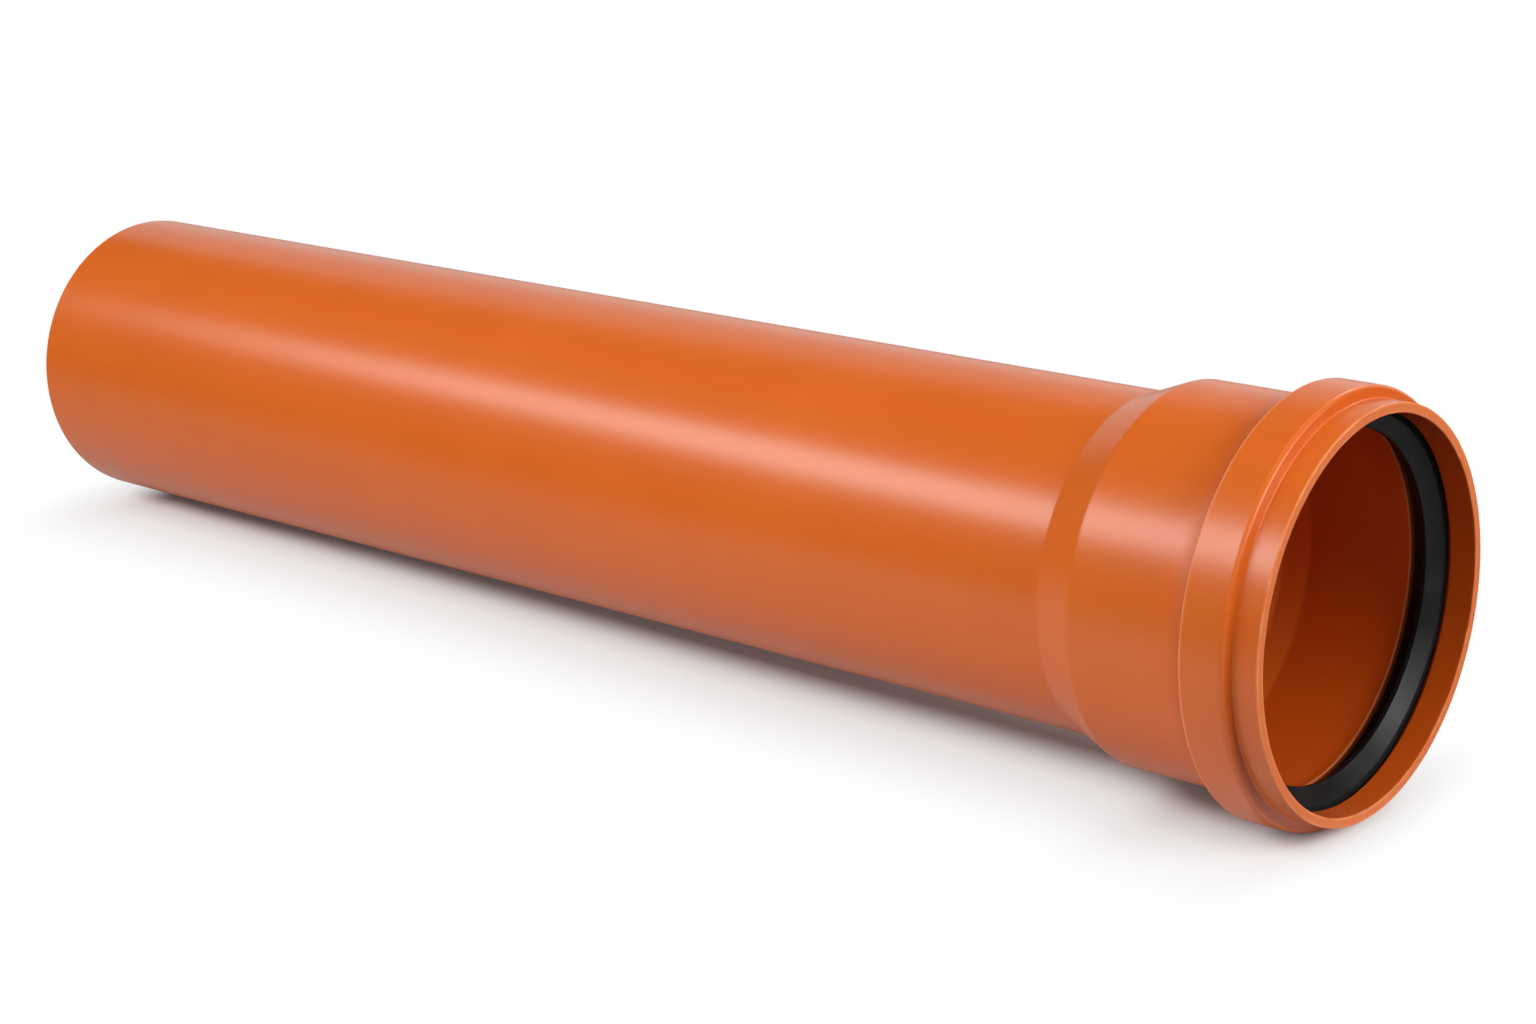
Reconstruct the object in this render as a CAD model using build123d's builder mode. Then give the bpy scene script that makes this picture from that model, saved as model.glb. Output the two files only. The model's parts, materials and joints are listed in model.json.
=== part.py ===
"""Sewer pipe of unplasticised PVC: a plain spigot at one end and a formed socket with a lip seal at the other.

Units are millimetres, +Z is up and the floor is Z = 0. The axis runs along +X from the spigot to the mouth,
and its middle stands above the origin. The pipe lies as it comes to rest: on the spigot's lower edge and on
the rear edge of the bead, so its axis leans a little up towards the mouth.
"""

import os
from math import asin, atan2, cos, degrees, hypot, sin, tan

from build123d import *

# Barrel and spigot
barrel_diameter = 110.0  # outside, which is also the spigot that the next socket takes
wall = 3.2  # the same tube wall all the way, as the socket is formed from the barrel
laying_length = 500.0  # from the spigot's end to where the next spigot stops in the taper
edge_break = 0.4  # taken off the sawn edges at both ends, at 45 degrees

# Socket, measured from the stop to the mouth
socket_depth = 74.0
socket_clearance = 3.0  # radial room between a spigot and the socket's bore
taper_length = 15.5  # axial length of the cone from the barrel to the socket
taper_blend = 3.0  # round at both ends of the cone, outside

# Bead outside, with the seal's groove inside it
collar_length = 8.8  # from the mouth back to the groove, inside
mouth_flare = 2.7  # how far the collar's bore stands outside the socket's bore
groove_depth = 6.5  # from the socket's bore to the groove's floor
groove_front_run = 3.6  # axial length of the sloping front side
groove_floor_length = 8.6
groove_edge = 0.5  # flat on the groove's rear edge, at 45 degrees
bead_rear_edge = 0.8  # round on the bead's square rear step
bead_front_foot = 8.4  # from the mouth back to the foot of the bead's steep front, outside
bead_front_run = 1.0  # axial length of that front
bead_shoulder = 1.6  # round from the crown down the front
collar_foot = 1.6  # hollow between the front and the collar

# Sealing ring
seal_side_gap = 0.6  # axial room in the groove, in front and behind
nose_setback = 1.3  # from the groove's front edge back to the ring's nose
nose_overhang = 1.1  # how far the nose stands inside the collar's bore
nose_round = 0.5
heel_recess = 1.2  # how far the heel stays outside the socket's bore
lip_interference = 0.6  # how far the lip stands inside a spigot's outside
lip_reach = 3.6  # axial length of the lip's front cone
lip_land = 1.6  # short straight band at the lip's tip
lip_round = 0.3  # round between the front cone and the band
lip_root_run = 3.2  # from the nose back to the hollow behind the lip

# Radii, from the axis outwards
barrel_radius = barrel_diameter / 2
barrel_bore = barrel_radius - wall
socket_bore = barrel_radius + socket_clearance
mouth_bore = socket_bore + mouth_flare
groove_radius = socket_bore + groove_depth
socket_radius = socket_bore + wall
collar_radius = mouth_bore + wall
bead_radius = groove_radius + wall
heel_radius = socket_bore + heel_recess
nose_radius = mouth_bore - nose_overhang
lip_radius = barrel_radius - lip_interference

# Stations along the axis, from the spigot's end
mouth = laying_length + socket_depth
groove_front = mouth - collar_length
groove_floor_front = groove_front - groove_front_run
groove_rear = groove_floor_front - groove_floor_length
taper_slope = (socket_bore - barrel_bore) / taper_length
taper_start = laying_length - wall / taper_slope
taper_end = taper_start + taper_length
front_slope = (groove_radius - mouth_bore) / groove_front_run
bead_front = mouth - bead_front_foot

# The outside runs one wall away from the inside, which moves each corner along the axis. The bead's front is
# steeper than the groove's, so the wall is a little thinner at its foot and thicker at its shoulder.
taper_shift = wall * tan(atan2(taper_slope, 1) / 2)
bead_rear = groove_rear - wall

# How the pipe lies: a floor line touches the corner of the spigot's edge and the round of the bead's rear edge
contact_run = (bead_rear + bead_rear_edge) - edge_break
contact_rise = (bead_radius - bead_rear_edge) - barrel_radius
lean = atan2(contact_rise, contact_run) + asin(bead_rear_edge / hypot(contact_run, contact_rise))
spigot_height = barrel_radius * cos(lean) - edge_break * sin(lean)
spigot_centre = Vector(-mouth / 2 * cos(lean), 0, spigot_height)
axis_direction = Vector(cos(lean), 0, sin(lean))

# Sections are drawn with x along the pipe's axis and y away from it
section_plane = Plane(origin=spigot_centre, x_dir=axis_direction, z_dir=(0, -1, 0))
pipe_axis = Axis(spigot_centre, axis_direction)

# Corners of the tube wall as (station, radius, round), out along the outside and back along the inside
wall_corners = [
    (0, barrel_radius - edge_break, 0),
    (edge_break, barrel_radius, 0),
    (taper_start - taper_shift, barrel_radius, taper_blend),
    (taper_end - taper_shift, socket_radius, taper_blend),
    (bead_rear, socket_radius, 0),
    (bead_rear, bead_radius, bead_rear_edge),
    (bead_front - bead_front_run, bead_radius, bead_shoulder),
    (bead_front, collar_radius, collar_foot),
    (mouth - edge_break, collar_radius, 0),
    (mouth, collar_radius - edge_break, 0),
    (mouth, mouth_bore + edge_break, 0),
    (mouth - edge_break, mouth_bore, 0),
    (groove_front, mouth_bore, 0),
    (groove_floor_front, groove_radius, 0),
    (groove_rear, groove_radius, 0),
    (groove_rear, socket_bore + groove_edge, 0),
    (groove_rear - groove_edge, socket_bore, 0),
    (taper_end, socket_bore, 0),
    (taper_start, barrel_bore, 0),
    (edge_break, barrel_bore, 0),
    (0, barrel_bore + edge_break, 0),
]

with BuildPart() as pipe:
    with BuildSketch(section_plane):
        with BuildLine():
            FilletPolyline(
                [(station, radius) for station, radius, _ in wall_corners],
                radius=[corner_round for _, _, corner_round in wall_corners],
                close=True,
            )
        make_face()
    revolve(axis=pipe_axis)
pipe.part.label = "pipe"

# Corners of the sealing ring: its heel fills the groove's floor and its lip slants back from the nose
seal_rear = groove_rear + seal_side_gap
seal_front = groove_floor_front - seal_side_gap
nose = groove_front - nose_setback
lip_front = nose - lip_reach
seal_corners = [
    (seal_rear, groove_radius, 0),
    (seal_front, groove_radius, 0),
    (nose, groove_radius - (nose - seal_front) * front_slope, 0),
    (nose, nose_radius, nose_round),
    (lip_front, lip_radius, lip_round),
    (lip_front - lip_land, lip_radius, 0),
    (nose - lip_root_run, heel_radius, 0),
    (seal_rear, heel_radius, 0),
]

with BuildPart() as sealing_ring:
    with BuildSketch(section_plane):
        with BuildLine():
            FilletPolyline(
                [(station, radius) for station, radius, _ in seal_corners],
                radius=[corner_round for _, _, corner_round in seal_corners],
                close=True,
            )
        make_face()
    revolve(axis=pipe_axis)
sealing_ring.part.label = "sealing_ring"

os.makedirs("parts", exist_ok=True)
export_step(pipe.part, "parts/pipe.step")
export_step(sealing_ring.part, "parts/sealing_ring.step")

print(f"overall length {mouth:.1f} mm, lean {degrees(lean):.4f} degrees, axis height {spigot_height:.4f} mm")
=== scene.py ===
# %% [markdown]
# # A sewer pipe on a white studio floor
#
# The object is one length of orange-brown PVC sewer pipe. One end is cut square. The other end was heated
# and pressed over a mandrel, which gave it a wider socket, a raised bead and a collar. A rubber lip seal
# sits in the groove inside the bead. This lesson turns both pieces from their sections, finishes them with
# shader nodes, and lights them as in a catalogue picture.
#
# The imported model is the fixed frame: it gives the size and the place, and the new pieces stand on it.

# %% Load the frame
import json
from math import atan2, ceil, cos, degrees, pi, radians, sin, tan

import bpy
from mathutils import Matrix, Vector


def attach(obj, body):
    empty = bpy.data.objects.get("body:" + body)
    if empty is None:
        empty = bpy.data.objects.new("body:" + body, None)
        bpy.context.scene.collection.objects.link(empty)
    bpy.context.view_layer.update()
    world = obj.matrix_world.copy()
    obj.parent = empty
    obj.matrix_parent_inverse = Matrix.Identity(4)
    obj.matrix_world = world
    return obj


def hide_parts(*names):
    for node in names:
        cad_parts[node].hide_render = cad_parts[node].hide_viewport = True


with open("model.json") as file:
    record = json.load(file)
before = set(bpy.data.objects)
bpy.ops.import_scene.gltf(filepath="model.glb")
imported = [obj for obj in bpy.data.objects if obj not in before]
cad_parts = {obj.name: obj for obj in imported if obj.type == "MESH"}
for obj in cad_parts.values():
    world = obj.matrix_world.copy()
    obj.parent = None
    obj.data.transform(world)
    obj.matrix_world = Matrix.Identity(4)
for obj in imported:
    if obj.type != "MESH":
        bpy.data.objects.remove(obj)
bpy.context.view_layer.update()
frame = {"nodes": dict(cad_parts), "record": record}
MM = 1000.0  # millimetres in a metre
print("frame nodes:", sorted(frame["nodes"]))

# %% [markdown]
# ## The pipe's own axis
#
# The pipe rests on its spigot's edge and on its bead, so its axis leans up a little towards the mouth. Every
# section, ring and texture below is simplest along that axis. The record gives the spigot as a pin with a
# point on the axis and a direction, and each end face as a flat with a point on it. Casting those points
# onto the axis gives both ends, so nothing has to be measured by eye.

# %% Find the axis
mounts = {mount["name"]: mount for mount in frame["record"]["mounts"]}
along = -Vector(mounts["spigot"]["axis"]).normalized()
side = Vector((0, 1, 0))
up = along.cross(side).normalized()
on_axis = Vector(mounts["spigot"]["pos_m"])


def cast(name):
    """The point of the axis that is level with a mount."""
    return on_axis + along * along.dot(Vector(mounts[name]["pos_m"]) - on_axis)


spigot_end = cast("spigot_face")
mouth = round(MM * (cast("mouth_face") - spigot_end).length, 2)
barrel = mounts["spigot"]["dims"]["r_mm"]
bore = mounts["waterway"]["dims"]["r_mm"]
lip = mounts["socket_seal"]["dims"]["r_mm"]
wall = round(barrel - bore, 3)
lean = degrees(atan2(along.z, along.x))
print(f"{mouth} mm long, barrel radius {barrel}, wall {wall}, lean {lean:.3f} degrees")

# %% [markdown]
# ## Sections with rounded corners
#
# Both pieces are bodies of revolution, so each one is a closed section turned about the axis. A section is a
# list of corners: how far along the pipe, how far from the axis, and how large a round the corner gets, all
# in millimetres. Blender's Bevel modifier could round the turned mesh later, but it gives every edge the
# same width. Rounding the section first gives each edge its own radius, from 0.2 mm on the rubber's lip to
# 3 mm at the ends of the taper.
#
# Two extra points near the ends of each straight run keep the smooth shading of a round from spreading over
# the long flat faces beside it.

# %% Round one corner
ARC_STEP = radians(9)


def arc_at(back, here, ahead, size):
    """Points of the round at one corner, from the run behind it to the run ahead."""
    to_back = (back - here).normalized()
    to_ahead = (ahead - here).normalized()
    half = to_back.angle(to_ahead) / 2
    centre = here + (to_back + to_ahead).normalized() * (size / sin(half))
    arm = here + to_back * (size / tan(half)) - centre
    bend = pi - 2 * half
    if to_back.cross(to_ahead) > 0:
        bend = -bend
    steps = max(2, ceil(abs(bend) / ARC_STEP))
    return [centre + Matrix.Rotation(bend * k / steps, 2) @ arm for k in range(steps + 1)]


quarter = arc_at(Vector((1, 0)), Vector((0, 0)), Vector((0, 1)), 0.5)
print("points on the round of a square corner:", len(quarter))

# %% Round a whole section
GUARD = 0.8  # how far from a round the extra points stand, in millimetres


def rounded(corners):
    """Closed section in millimetres, from corners of (station, radius, round)."""
    spots = [Vector(corner[:2]) for corner in corners]
    count = len(spots)
    arcs = []
    for i, corner in enumerate(corners):
        arcs.append(arc_at(spots[i - 1], spots[i], spots[(i + 1) % count], corner[2]))
    points = []
    for i, arc in enumerate(arcs):
        end = arc[-1]
        after = arcs[(i + 1) % count][0]
        run = after - end
        guard = run.normalized() * min(GUARD, run.length / 4)
        points += arc
        points += [end + guard, after - guard]
    return points


def nearest(section, spot):
    """The number of the section's point that is nearest to a spot."""
    return min(range(len(section)), key=lambda k: (section[k] - Vector(spot)).length)


# %% [markdown]
# ## Turning a section
#
# Blender's Screw modifier would turn a drawn section too. Here the rings are laid in code, because that also
# gives the piece a tidy UV map: the outside skin in the upper half of the square and the inside skin in the
# lower half, each unrolled flat. A texture baked for other programs then has no overlaps.

# %% Lay the rings
TURNS = 192


def place(station, radius, angle):
    """A point in metres, by its station and radius in millimetres and its angle from the top."""
    across = side * sin(angle) + up * cos(angle)
    return spigot_end + along * (station / MM) + across * (radius / MM)


def rings(section):
    """Corners and faces of the section turned all the way round."""
    size = len(section)
    corners = [place(*point, 2 * pi * turn / TURNS) for turn in range(TURNS) for point in section]
    faces = []
    for turn in range(TURNS):
        here = turn * size
        there = (turn + 1) % TURNS * size
        for k in range(size):
            after = (k + 1) % size
            faces.append((here + k, there + k, there + after, here + after))
    return corners, faces


print("faces round the pipe:", TURNS)

# %% Unroll the skin
MARGIN = 0.002  # bare rim round each half of the UV square


def columns(section, first, count):
    """Left and right edge, from 0 to 1, of count steps of the section when they are laid flat."""
    steps = [section[(first + k) % len(section)] for k in range(count + 1)]
    runs = [0.0]
    for a, b in zip(steps, steps[1:]):
        runs.append(runs[-1] + (b - a).length)
    edges = [MARGIN + (1 - 2 * MARGIN) * run / runs[-1] for run in runs]
    return list(zip(edges, edges[1:]))


def skin_map(section, turning_point):
    """A flat place for each corner of each face, with the outside up to the turning point."""
    outside = columns(section, 0, turning_point)
    inside = columns(section, turning_point, len(section) - turning_point)
    shelves = [(*edges, 0.5) for edges in outside] + [(*edges, 0.0) for edges in inside]
    spread = []
    for turn in range(TURNS):
        low, high = (MARGIN + (0.5 - 2 * MARGIN) * step / TURNS for step in (turn, turn + 1))
        for left, right, shelf in shelves:
            spread += [(left, shelf + low), (left, shelf + high)]
            spread += [(right, shelf + high), (right, shelf + low)]
    return spread


# %% Make a turned piece
def put(name, data):
    """A new object in the scene, of a mesh, a lamp or a lens."""
    made = bpy.data.objects.new(name, data)
    bpy.context.scene.collection.objects.link(made)
    return made


def turned(name, section, turning_point):
    """A smooth closed piece of the section, with its outside up to the turning point."""
    corners, faces = rings(section)
    mesh = bpy.data.meshes.new(name)
    mesh.from_pydata(corners, [], faces)
    skin = mesh.uv_layers.new(name="OFBake")
    for loop, spot in zip(skin.uv, skin_map(section, turning_point)):
        loop.vector = spot
    mesh.shade_smooth()
    print(f"{name}: {len(section)} points in its section, {len(faces)} faces")
    return put(name, mesh)


# %% [markdown]
# ## The formed pipe
#
# The socket was formed from the barrel itself, so the wall is the same all the way, apart from the bead's
# front, which is steeper outside than inside. The outside runs from the sawn spigot along the barrel, up the
# taper, along the socket, over the bead and down to the collar. The inside runs back: the collar's bore, the
# groove under the bead, the socket's bore, the taper and the waterway. Separate tubes for barrel, socket and
# bead would be quicker to draw, but they would leave seams. As one section, the turned wall is closed and
# has a true thickness at both ends.

# %% Sizes of the socket
stop = 500.0  # where the next pipe's end comes to rest, in the taper
socket = barrel + 3.0  # bores of the socket, the collar and the groove
collar = socket + 2.7
groove = socket + 6.5
taper = 15.5  # length of the cone
groove_front = mouth - 8.8
groove_floor = groove_front - 3.6
groove_rear = groove_floor - 8.6
bead_rear = groove_rear - wall
bead_front = mouth - 8.4  # foot of the bead's steep front, outside
taper_slope = (socket - bore) / taper
taper_foot = stop - wall / taper_slope
taper_shift = wall * tan(atan2(taper_slope, 1) / 2)  # the cone's corners lie this much further back outside
print(f"taper from {taper_foot:.1f} to {taper_foot + taper:.1f} mm, bead from {bead_rear:.1f} mm")

# %% Section of the pipe
outside_corners = [
    (0, barrel, 0.4),
    (taper_foot - taper_shift, barrel, 3),
    (taper_foot + taper - taper_shift, socket + wall, 3),
    (bead_rear, socket + wall, 0.5),
    (bead_rear, groove + wall, 0.8),
    (bead_front - 0.95, groove + wall, 1.8),
    (bead_front + 0.2, collar + wall, 0.5),
    (mouth, collar + wall, 0.4),
]
inside_corners = [
    (mouth, collar, 0.4),
    (groove_front, collar, 0.5),
    (groove_floor, groove, 0.6),
    (groove_rear, groove, 0.6),
    (groove_rear, socket, 0.5),
    (taper_foot + taper, socket, 3),
    (taper_foot, bore, 3),
    (0, bore, 0.4),
]
pipe_section = rounded(outside_corners + inside_corners)
formed_pipe = turned("formed_pipe", pipe_section, nearest(pipe_section, (mouth, collar)))
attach(formed_pipe, "root")
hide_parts("pipe")

# %% [markdown]
# ## The lip seal
#
# The seal is a moulded rubber ring. Its heel fills the floor of the groove, its nose looks out of the mouth
# and its lip slants back and inwards, so that the next pipe bends it and presses it tight. It could be a
# stack of tori, but a moulded ring has flats and sharp mould lines, so it is turned from a section as well.

# %% Section of the seal
nose = groove_front - 1.3
heel = socket + 1.2
seal_rear = groove_rear + 0.6
seal_front = groove_floor - 0.6
front_slope = (groove - collar) / (groove_front - groove_floor)
seal_outside = [
    (seal_rear, groove, 0.4),
    (seal_front, groove, 0.4),
    (nose, groove - (nose - seal_front) * front_slope, 0.4),
]
seal_inside = [
    (nose, collar - 1.1, 0.5),
    (nose - 3.6, lip, 0.3),
    (nose - 5.2, lip, 0.2),
    (nose - 3.2, heel, 0.3),
    (seal_rear, heel, 0.4),
]
seal_section = rounded(seal_outside + seal_inside)
lip_seal = turned("lip_seal", seal_section, nearest(seal_section, seal_inside[0][:2]))
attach(lip_seal, "root")
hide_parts("sealing_ring")

# %% [markdown]
# ## Shader maths as plain expressions
#
# A finish is easier to read as a formula than as a drawing of wires. `Wire` holds one output socket of a
# node tree. Adding or multiplying wires adds the Math nodes, and `1 - mask` works as well as `mask - 1`.
# Every other node comes from `node`, which takes the type, the settings and what goes into the sockets.

# %% A socket that can be used in a formula
class Wire:
    def __init__(self, tree, socket=None):
        self.tree = tree
        self.socket = socket

    def node(self, kind, settings, sockets, output=0):
        made = self.tree.nodes.new(kind)
        for name, value in settings.items():
            setattr(made, name, value)
        for name, value in sockets.items():
            feed(self, made, name, value)
        return Wire(self.tree, made.outputs[output])

    def math(self, operation, *values):
        return self.node("ShaderNodeMath", {"operation": operation}, dict(enumerate(values)))

    def __add__(self, other):
        return self.math("ADD", self, other)

    def __radd__(self, other):
        return self.math("ADD", other, self)

    def __sub__(self, other):
        return self.math("SUBTRACT", self, other)

    def __rsub__(self, other):
        return self.math("SUBTRACT", other, self)

    def __mul__(self, other):
        return self.math("MULTIPLY", self, other)

    def __rmul__(self, other):
        return self.math("MULTIPLY", other, self)

    def __truediv__(self, other):
        return self.math("DIVIDE", self, other)

    def __rtruediv__(self, other):
        return self.math("DIVIDE", other, self)

    def __pow__(self, power):
        return self.math("POWER", self, power)

    def __rpow__(self, base):
        return self.math("POWER", base, self)

    def __abs__(self):
        return self.math("ABSOLUTE", self)

    def larger(self, other):
        return self.math("MAXIMUM", self, other)

    def dot(self, vector):
        settings = {"operation": "DOT_PRODUCT"}
        return self.node("ShaderNodeVectorMath", settings, {0: self, 1: vector}, "Value")

    def scaled(self, factor):
        return self.node("ShaderNodeVectorMath", {"operation": "SCALE"}, {0: self, "Scale": factor})

    def joined(self, x, y, z=0.0):
        """A vector of three numbers."""
        return self.node("ShaderNodeCombineXYZ", {}, {"X": x, "Y": y, "Z": z})

    def ramp(self, start, end):
        """Runs smoothly from 0 at start to 1 at end."""
        sockets = {"Value": self, "From Min": start, "From Max": end}
        return self.node("ShaderNodeMapRange", {"interpolation_type": "SMOOTHSTEP"}, sockets)

    def mixed(self, first, second):
        """A colour between first and second, with this wire as the share of the second."""
        return self.node("ShaderNodeMix", {"data_type": "RGBA"}, {0: self, 6: first, 7: second}, 2)

    def speckle(self, place, scale, detail=2.0):
        """Noise from 0 to 1 at a place, with scale bumps to a millimetre."""
        sockets = {"Vector": place, "Scale": scale, "Detail": detail, "Roughness": 0.5}
        return self.node("ShaderNodeTexNoise", {"normalize": True}, sockets)

    def bump(self, depth):
        """A normal from this wire as a height, where 1 stands for a depth in metres."""
        sockets = {"Strength": 1.0, "Distance": depth, "Height": self}
        return self.node("ShaderNodeBump", {}, sockets)

    def ray(self, kind):
        """1 for rays of one kind, such as Camera, and 0 for all others."""
        return self.node("ShaderNodeLightPath", {}, {}, f"Is {kind} Ray")


# %% Start a finish
def feed(start, shader, name, value):
    """Links a wire to a socket of a shader or another node, or sets the socket's own value."""
    if isinstance(value, Wire):
        start.tree.links.new(value.socket, shader.inputs[name])
    else:
        shader.inputs[name].default_value = value


def new_finish(name):
    """An empty material, its first wire and its Principled shader."""
    finish = bpy.data.materials.new(name)
    finish.use_nodes = True
    shader = finish.node_tree.nodes["Principled BSDF"]
    return finish, Wire(finish.node_tree), shader


# %% [markdown]
# ## Where a point lies on the pipe
#
# A finish of a turned body follows the body, not the room. From a point's place in the room come three
# numbers: its station along the pipe, its distance from the axis, and the direction in which it looks out
# from the axis. Noise that is read with the station squeezed becomes long streaks, as an extruder's die
# leaves them. It is read on the direction and not on an angle, so there is no seam where the circle closes.

# %% Coordinates along and round the pipe
def coordinates(start):
    """Station, radius, outward direction (side, up) and the point itself, in millimetres."""
    point = start.node("ShaderNodeTexCoord", {}, {}, "Object").scaled(MM)
    station = point.dot(along) - MM * along.dot(spigot_end)
    sideways = point.dot(side)
    upwards = point.dot(up) - MM * up.dot(spigot_end)
    radius = (sideways * sideways + upwards * upwards) ** 0.5
    return station, radius, sideways / radius, upwards / radius, point


def streaked(station, squeeze, out_side, out_up):
    """A place for noise that runs along the pipe, on a skin of the barrel's radius."""
    return station.joined(station * squeeze, out_side * barrel, out_up * barrel)


# %% [markdown]
# ## PVC
#
# The pipe is extruded, so its skin is smooth and glossy but not a mirror: the die leaves fine lines along
# the length, and the gloss and the colour drift a little. The socket was formed hot against a mould, so the
# lines fade there. The lines are far too fine for geometry, so they become a Bump on the Normal.
#
# Each noise below stands for one of these things on the skin, and the next cells put them together.

# %% PVC: what the noise gives
pvc, start, shader = new_finish("pipe_pvc")
station, radius, out_side, out_up, point = coordinates(start)
fine_lines = start.speckle(streaked(station, 0.02, out_side, out_up), 0.9)
broad_lines = start.speckle(streaked(station, 0.006, out_side, out_up), 0.12)
clouds = start.speckle(point, 0.018, 3.0)
peel = start.speckle(point, 0.7)
rubs = start.speckle(streaked(station, 0.1, out_side, out_up), 0.35, 4.0).ramp(0.62, 0.74)
patches = start.speckle(point, 0.12, 3.0).ramp(0.35, 0.65)
print("PVC nodes for noise:", len(pvc.node_tree.nodes))

# %% [markdown]
# ### Regions of the skin
#
# The inside is found by its normal, which looks at the axis, and it is painted a deeper orange as painted
# shade. Past a ring inside the socket the bore is painted lighter, as painted light, and its skin is duller.
# The sawn ends are a thin slice at each end of the pipe. Their marks are arcs, because the saw's blade is
# round and its centre is off the pipe. Painting these regions by hand would need a mask picture, but on a
# turned body each one is a formula.

# %% PVC: regions
normal = start.node("ShaderNodeNewGeometry", {}, {}, "Normal")
outward = start.joined(out_up * up.x, out_side, out_up * up.z)
# the skin that faces the axis, painted a deeper orange below as painted shade
inside = 1 - normal.dot(outward).ramp(-0.3, 0.3)
formed = station.ramp(taper_foot - 8, taper_foot + taper)
lighter_bore_start = stop + 17
# past the ring the bore is painted lighter as painted light, and its skin is made duller
waterway = inside * (1 - station.ramp(lighter_bore_start - 1, lighter_bore_start + 1))
sawn = (1 - station.ramp(0.15, 0.5)).larger(station.ramp(mouth - 0.5, mouth - 0.15))

blade_side, blade_up = 190, 60  # where the saw's centre is, from the axis
saw_arc = ((out_side * radius - blade_side) ** 2 + (out_up * radius - blade_up) ** 2) ** 0.5
saw_marks = start.speckle(start.joined(saw_arc, station * 0.1), 0.8)
print(f"mandrel's ring at {lighter_bore_start} mm")

# %% [markdown]
# ### Rubbed edges, painted highlights and painted shade
#
# The rims of both ends are rubbed pale where pipes are stacked, and patches break that up. On top come a
# thin pale line on the rear edge of the bead, partly rubbed and mostly a painted highlight, and one on the
# groove's edge inside, a painted highlight. Each is a circle, so the mask is the distance from that circle.
# The hollow behind the bead and the bead's steep front are painted darker instead, as painted shade.

# %% PVC: rubbed edges and painted edge highlights
def near_ring(ring_station, ring_radius, full, none):
    """A mask round one circle of the pipe: 1 up to the distance full from it, 0 from none on."""
    gap = ((station - ring_station) ** 2 + (radius - ring_radius) ** 2) ** 0.5
    return 1 - gap.ramp(full, none)


def rims(ring_station, outer, inner):
    """Both edges of one sawn end."""
    outer_rim = near_ring(ring_station, outer - 0.1, 0.2, 0.9)
    return outer_rim.larger(near_ring(ring_station, inner + 0.1, 0.2, 0.9))


spigot_rims = rims(0.1, barrel, bore)
mouth_rims = rims(mouth - 0.1, collar + wall, collar)
# Painted highlights: a thin pale line on the bead's rear edge, partly rubbed, and on the groove's edge
# inside.
bead_edge_highlight = near_ring(bead_rear + 0.2, groove + wall - 0.2, 0.4, 1.1)
groove_edge_highlight = near_ring(groove_rear, socket, 0.3, 0.8)
worn_rims = spigot_rims.larger(0.6 * mouth_rims) * patches
# rubbed wear on the rims, with the painted edge highlights on top
wear_and_edge_highlight = worn_rims.larger(bead_edge_highlight.larger(groove_edge_highlight) * (0.75 + 0.25 * patches))
print("PVC nodes with the rubbed edges:", len(pvc.node_tree.nodes))

# %% PVC: painted shade by the bead
# Painted shade: the colour is darkened behind the bead and on its steep front, where shade falls.
below_crown = 1 - radius.ramp(socket + wall + 0.5, groove + wall - 1)
before_step = 1 - station.ramp(bead_rear - 0.1, bead_rear + 0.1)
behind_bead = station.ramp(bead_rear - 9, bead_rear - 3) * below_crown * before_step
past_foot = station.ramp(bead_front, bead_front + 0.3)
bead_slope = station.ramp(bead_front - 1.0, bead_front - 0.6) * (1 - past_foot)
painted_hollow_shade = behind_bead.larger(bead_slope) * (1 - inside)
print(f"hollow behind the bead from {bead_rear - 9:.1f} mm")

# %% [markdown]
# ### Colour, gloss and bump of the PVC
#
# The colours are laid over each other from the whole skin to the smallest marks. Gloss goes the same way: a
# plain level, and more roughness where the skin is streaked, rubbed or sawn. What is the same all over, such
# as the IOR, is a plain value on the shader's socket.

# %% PVC: colour
deep_orange = (0.645, 0.120, 0.0096, 1)
orange = (0.685, 0.134, 0.0116, 1)
pale_orange = (0.80, 0.26, 0.09, 1)
shaded_bore_orange = (0.56, 0.088, 0.0055, 1)
lit_waterway_orange = (0.72, 0.15, 0.016, 1)
# a darker brown for the painted shade by the bead
painted_shade_brown = (0.48, 0.075, 0.005, 1)

tint = (0.7 * clouds + 0.2 * broad_lines + 0.1 * fine_lines).ramp(0.25, 0.75)
colour = tint.mixed(deep_orange, orange)
# Painted shade: the inside is a deeper orange. Painted light: the bore past the ring is lighter.
colour = inside.mixed(colour, shaded_bore_orange)
colour = waterway.mixed(colour, lit_waterway_orange)
# painted shade behind the bead and on its steep front
colour = (0.5 * painted_hollow_shade).mixed(colour, painted_shade_brown)
# Pale orange for the rubs, the rubbed rims, the painted edge highlights and the sawn ends.
paled = 0.03 * rubs + 0.8 * wear_and_edge_highlight + sawn * (0.15 + 0.3 * saw_marks)
feed(start, shader, "Base Color", paled.mixed(colour, pale_orange))
print("PVC colours:", orange[:3], "to", deep_orange[:3])

# %% PVC: gloss and bump
gloss = 0.265 + 0.03 * broad_lines + 0.02 * clouds + 0.04 * rubs + 0.03 * inside
gloss = gloss + 0.12 * waterway + 0.1 * wear_and_edge_highlight + 0.15 * behind_bead + 0.2 * sawn
die_lines = (1 - 0.7 * formed) * (1 - sawn) * (fine_lines + 0.8 * broad_lines)
height = die_lines + 0.25 * peel + 6 * sawn * saw_marks
feed(start, shader, "Roughness", gloss)
feed(start, shader, "Normal", height.bump(0.000006))
feed(start, shader, "IOR", 1.54)
formed_pipe.data.materials.append(pvc)
print("PVC nodes:", len(pvc.node_tree.nodes))
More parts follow.
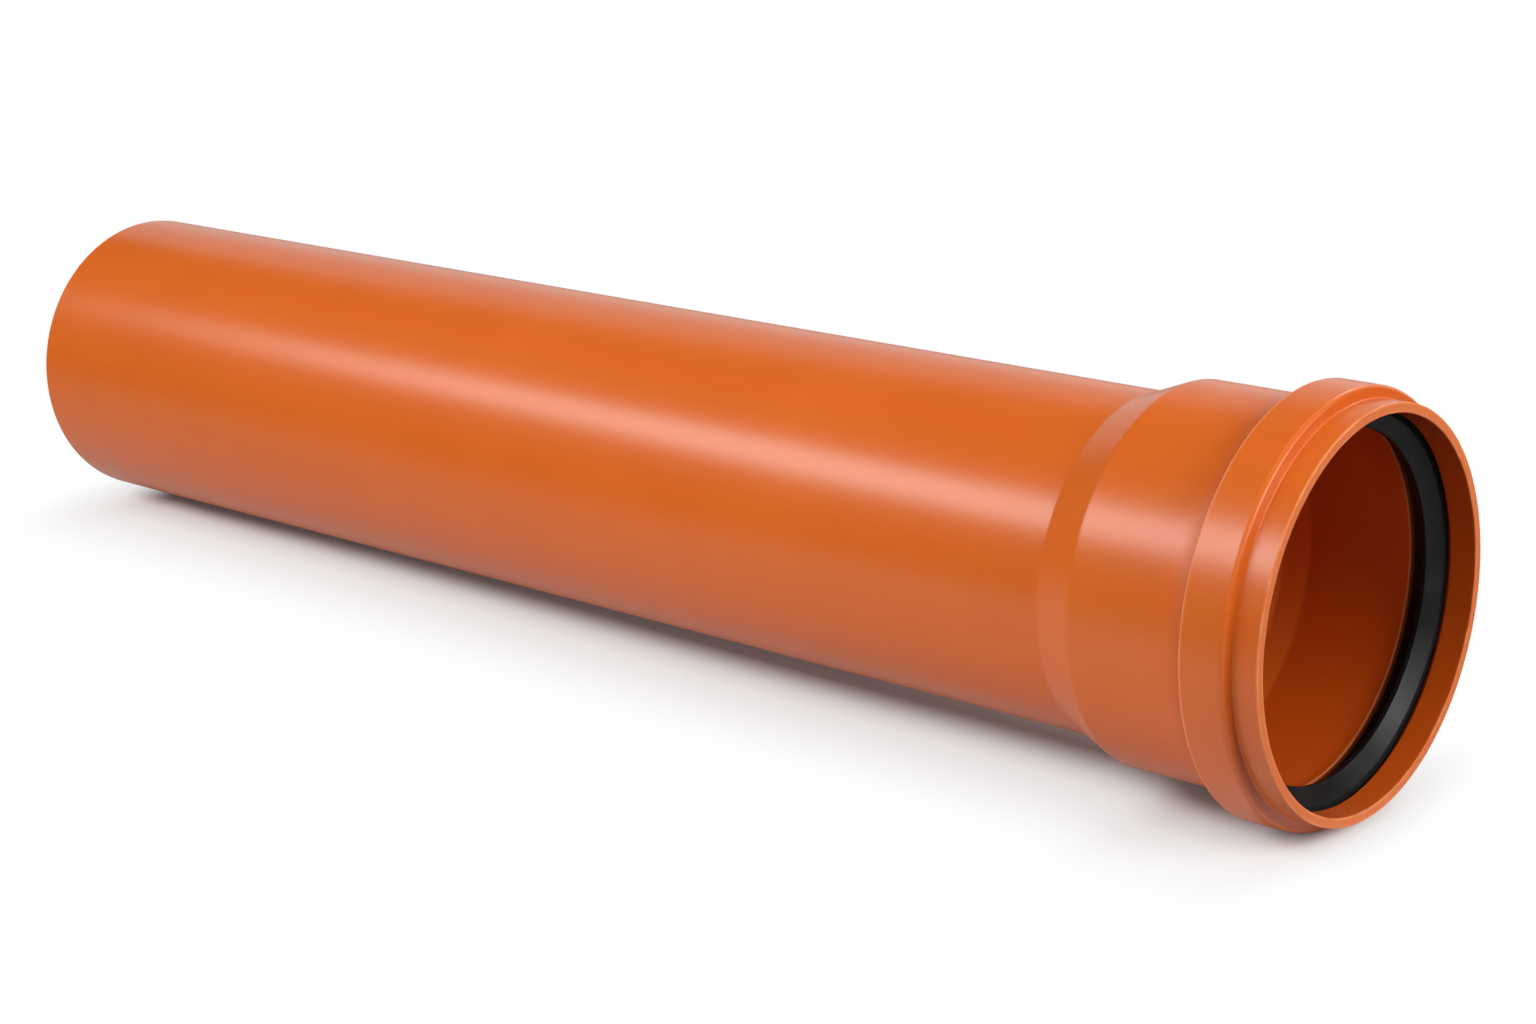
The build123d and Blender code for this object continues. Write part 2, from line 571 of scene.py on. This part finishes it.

# %% [markdown]
# ## Rubber
#
# Moulded rubber is nearly black and satin. The mould was turned on a lathe, so it left very fine rings, and
# a little bloom greys the skin in patches. Noise that only reads station and radius is the same all the way
# round, which is exactly what a turned mould leaves. The ring's flat front face is kept black without bloom,
# as painted shade, and gets no gloss, so it draws a thin dark line round the band.

# %% Rubber finish
rubber, start, shader = new_finish("seal_rubber")
station, radius, out_side, out_up, point = coordinates(start)
mould_rings = start.speckle(start.joined(station, radius), 2.2)
bloom = start.speckle(point, 0.09, 4.0).ramp(0.35, 0.75)
grain = start.speckle(point, 2.5)
# the front face is kept black as painted shade, and made rough
front_face = station.ramp(nose - 0.3, nose - 0.1)
black = (0.004, 0.0041, 0.0042, 1)
grey = (0.010, 0.0103, 0.0108, 1)
greyed = (1 - front_face) * (0.6 * bloom + 0.3 * mould_rings)
gloss = 0.29 + 0.06 * bloom + 0.05 * mould_rings + 0.03 * grain + 0.5 * front_face
feed(start, shader, "Base Color", greyed.mixed(black, grey))
feed(start, shader, "Roughness", gloss)
feed(start, shader, "Normal", (mould_rings + 0.4 * grain).bump(0.00002))
feed(start, shader, "Specular IOR Level", 0.15)
lip_seal.data.materials.append(rubber)
print("rubber nodes:", len(rubber.node_tree.nodes))

# %% [markdown]
# ## The floor
#
# The picture has a white floor with no edge and a soft shadow. A large plane with a pale, matt finish takes
# the shadow. For the camera it is bleached with distance from the pipe, by a Mix Shader with plain white, so
# no horizon shows and the shadow fades out as softly as in the picture. More light would whiten the floor
# too, but it would also bleach the pipe.

# %% Floor plane
def level(low, high, height):
    """Corners of a level rectangle, from two opposite corners in plan."""
    return [(low[0], low[1], height), (high[0], low[1], height),
            (high[0], high[1], height), (low[0], high[1], height)]


FLOOR_REACH = 6.0
floor_mesh = bpy.data.meshes.new("floor")
floor_mesh.from_pydata(level((-FLOOR_REACH,) * 2, (FLOOR_REACH,) * 2, 0), [], [(0, 1, 2, 3)])
floor = put("floor", floor_mesh)
print(f"floor: {2 * FLOOR_REACH} m square")

# %% [markdown]
# ### The shadow's shape
#
# Distance is measured from a line on the floor under the pipe. The line bends a little, because the pipe
# leans and the floor shows further in under its raised end. The shadow is narrower at the spigot, wider by
# the bead, and it ends soon after both ends of the pipe.

# %% Floor: where it is bleached
pale, start, shader = new_finish("pale_floor")
spot = start.node("ShaderNodeTexCoord", {}, {}, "Object").scaled(MM)
across = spot.dot((0, 1, 0))
lengthways = spot.dot((1, 0, 0))
past_spigot = 2 * (-262 - lengthways)
past_mouth = 3 * (lengthways - 275)
past_ends = past_spigot.larger(past_mouth).larger(0)
by_bead = 1 - abs(lengthways - 258).ramp(18, 40)
bend = 5 * lengthways.ramp(-260, -120) + 3 * lengthways.ramp(60, 170) - 7 * lengthways.ramp(200, 235)
from_line = (past_ends ** 2 + (across - bend) ** 2) ** 0.5
away = from_line - 2.5 + 0.02 * lengthways - 9 * by_bead
bleached = (0.6 * away.ramp(0, 40) + 0.4 * away.ramp(25, 90)).larger(0.04)
print("floor nodes for the shadow:", len(pale.node_tree.nodes))

# %% [markdown]
# ### What the pipe mirrors of the floor
#
# Reflections see a tenth of the bleaching only. Beside the pipe, and in a strip under the collar, they see a
# darker floor, as if black paper lay there just for them. Without that the pipe's lower half would turn
# milky. The soft light that the floor throws back stays that of the matt plane.

# %% Floor finish
mirrored = start.ray("Glossy")
beside = abs(across).ramp(30, 120) * (0.38 - 0.0006 * lengthways).larger(0)
under_collar = (1 - abs(lengthways - 273).ramp(5, 9)) * (1 - abs(across).ramp(30, 60))
dimmed = mirrored * beside.larger(0.75 * under_collar)
feed(start, shader, "Base Color", dimmed.mixed((0.7, 0.7, 0.7, 1), (0, 0, 0, 1)))
feed(start, shader, "Roughness", 0.7)
feed(start, shader, "Specular IOR Level", 0.2)

seen = start.ray("Camera").larger(start.ray("Transmission")).larger(0.1 * mirrored)
matt = Wire(pale.node_tree, shader.outputs[0])
plain_white = start.node("ShaderNodeEmission", {}, {"Color": (1, 1, 1, 1), "Strength": 1.0})
surface = start.node("ShaderNodeMixShader", {}, {0: seen * bleached, 1: matt, 2: plain_white})
feed(start, pale.node_tree.nodes["Material Output"], "Surface", surface)
floor.data.materials.append(pale)
print("floor nodes:", len(pale.node_tree.nodes))

# %% [markdown]
# ## The room
#
# The room is white for the camera. In reflections it is nearly white at the horizon and dimmer above, which
# gives the pale rims along the pipe's outline. As a light it is much weaker, so that the softboxes can
# shape the pipe. A picture of a studio could light the scene too, but a few numbers are easier to tune.

# %% World
ROOM = 0.29  # how bright the room is as a light, where 1 is white
world = bpy.data.worlds.new("white_room")
bpy.context.scene.world = world
world.use_nodes = True
room = Wire(world.node_tree)
background = world.node_tree.nodes["Background"]
skywards = room.node("ShaderNodeTexCoord", {}, {}, "Generated").dot((0, 0, 1))
mirrored = (0.95 - 0.5 * skywards.ramp(0.04, 0.34)) * room.ray("Glossy")
seen = room.ray("Camera").larger(room.ray("Transmission")).larger(mirrored)
feed(room, background, "Strength", ROOM + (1 - ROOM) * seen)
feed(room, background, "Color", (1, 1, 1, 1))
print("room as a light:", ROOM)

# %% [markdown]
# ## Softboxes
#
# A long pair of softboxes to the left in front draws the one broad streak along barrel and socket. One
# overhead softens the shadow, one behind gives the back a streak too, and a fill lifts the front. The strip
# beside the one behind is for reflections alone, because as a light it would reach the end face.
#
# The mouth faces away from most of these and gets a strong lamp of its own. If the barrel mirrored it, the
# pipe would glare when it is seen along its length from the spigot. So reflections don't see that lamp.
# They see a weaker one in nearly the same place, and the rubber sees one more. Light linking does that: a
# lamp names a collection, and only the objects in it receive its light. The three stand 2 cm apart, because
# lamps in one plane hide each other in reflections.

# %% Build a softbox
def aimed(spot, target):
    """Where something stands that looks at a target."""
    spot = Vector(spot)
    turn = (Vector(target) - spot).to_track_quat("-Z", "Y")
    return Matrix.Translation(spot) @ turn.to_matrix().to_4x4()


def softbox(name, spot, target, width, height, brightness):
    """An area lamp whose face is brightness times as bright as white paper in plain light."""
    lamp = bpy.data.lights.new(name, "AREA")
    lamp.shape = "RECTANGLE"
    lamp.size = width
    lamp.size_y = height
    lamp.energy = brightness * pi * width * height
    stand = put(name, lamp)
    stand.matrix_world = aimed(spot, target)
    print(f"{name}: {lamp.energy:.2f} W")
    return stand


# %% Softboxes along the pipe
softbox("streak_box", (-0.85, -0.63, 0.64), (-0.80, 0, 0.06), 0.50, 0.24, 5.4)
softbox("socket_box", (-0.175, -0.67, 0.60), (-0.105, 0, 0.06), 0.85, 0.27, 6.5)
softbox("top_box", (0.25, 0.15, 1.3), (0.05, 0, 0.05), 0.8, 0.8, 0.7)
softbox("back_box", (0.23, 0.70, 0.68), (0.23, 0, 0.06), 0.42, 0.26, 3.8)
back_strip = softbox("back_strip", (0.84, 0.70, 0.68), (0.84, 0, 0.06), 0.80, 0.26, 3.8)
back_strip.visible_diffuse = False
front_fill = softbox("front_fill", (0.60, -0.85, 0.60), (0.20, 0, 0.06), 0.5, 0.4, 1.4)
front_fill.visible_glossy = False

# %% Softboxes for the mouth
mouth_spot = (0.29, 0, 0.07)
mouth_box = softbox("mouth_box", (1.15, 0.10, 0.56), mouth_spot, 0.5, 0.5, 12.0)
mouth_box.visible_glossy = False
rim_glint = softbox("rim_glint", (1.13, 0.10, 0.55), mouth_spot, 0.5, 0.5, 3.5)
rim_glint.visible_diffuse = False
seal_glint = softbox("seal_glint", (1.17, 0.10, 0.57), mouth_spot, 0.5, 0.5, 8.5)
seal_glint.visible_diffuse = False
seal_only = bpy.data.collections.new("seal_only")
seal_only.objects.link(lip_seal)
seal_glint.light_linking.receiver_collection = seal_only

# %% [markdown]
# ## Cards and flags
#
# In a studio, black cards stand round a glossy thing to keep its colour deep beside the streaks. Here they
# are plain meshes that only reflections see. One of them, above the bead, hides the mouth's lamp from the
# barrel. Two flags lie on the floor and work the other way round: only soft light sees them, and they take
# away some of what the floor would throw up at the barrel's front and into the mouth.

# %% Build a card
dark, start, shader = new_finish("dark_card")
feed(start, shader, "Base Color", (0.02, 0.02, 0.02, 1))
feed(start, shader, "Roughness", 1.0)
feed(start, shader, "Specular IOR Level", 0.0)


def upright(left, right, low, high):
    """Corners of an upright rectangle over a line in plan."""
    return [(*left, low), (*right, low), (*right, high), (*left, high)]


def card(name, corners, shades=False):
    """A dark card that only reflections see, or with shades only the soft light."""
    mesh = bpy.data.meshes.new(name)
    mesh.from_pydata(corners, [], [range(len(corners))])
    made = put(name, mesh)
    made.visible_camera = False
    made.visible_diffuse = shades
    made.visible_glossy = not shades
    made.visible_shadow = False
    made.visible_transmission = False
    made.data.materials.append(dark)
    print(f"{name}: seen by {'soft light' if shades else 'reflections'} only")


# %% Cards round the pipe
ceiling = [(-3, -1.1), (2, -1.1), (2, 2.2), (0, 2.2), (-1.5, 0.84), (-3, 0.84)]
CEILING_HEIGHT = 1.5
FLAG_HEIGHT = 0.001  # just above the floor
card("ceiling_card", [(x, y, CEILING_HEIGHT) for x, y in ceiling])
card("front_card", upright((-3.2, -1.1), (0.6, -1.1), 0.0, CEILING_HEIGHT))
card("low_card", upright((-3.2, -0.29), (0.6, -0.29), 0.0, 0.22))
card("left_card", upright((-1.6, -1.1), (-1.6, 0.55), 0.0, CEILING_HEIGHT))
card("right_card", upright((0.9, -0.6), (0.9, 0.6), 0.0, 0.25))
card("bead_flag", upright((0.30, -0.15), (0.30, 0.2), 0.15, 0.40))
card("back_card", upright((1.5, 0.6), (0.5, 1.4), 0.0, 1.1))
card("front_flag", level((-0.8, -0.6), (-0.05, -0.18), FLAG_HEIGHT), shades=True)
card("mouth_flag", level((0.30, -0.5), (1.2, 0.6), FLAG_HEIGHT), shades=True)

# %% [markdown]
# ## Camera
#
# The picture was taken with a fairly long lens, from the socket's side and a little above. The place and the
# lens come from lining up the pipe's outline with the picture's: both ends, both edges and the mouth's rim.

# %% Camera
lens = bpy.data.cameras.new("camera")
lens.sensor_width = 36
lens.lens = 70.748
camera_spot = Vector((0.70513, -0.75112, 0.35595))
camera_aim = Vector((-0.62893, 0.72108, -0.29066))
camera = put("camera", lens)
camera.matrix_world = aimed(camera_spot, camera_spot + camera_aim)
bpy.context.scene.camera = camera
bpy.context.scene.view_settings.view_transform = "Standard"
print("camera at", [round(v, 3) for v in camera_spot])
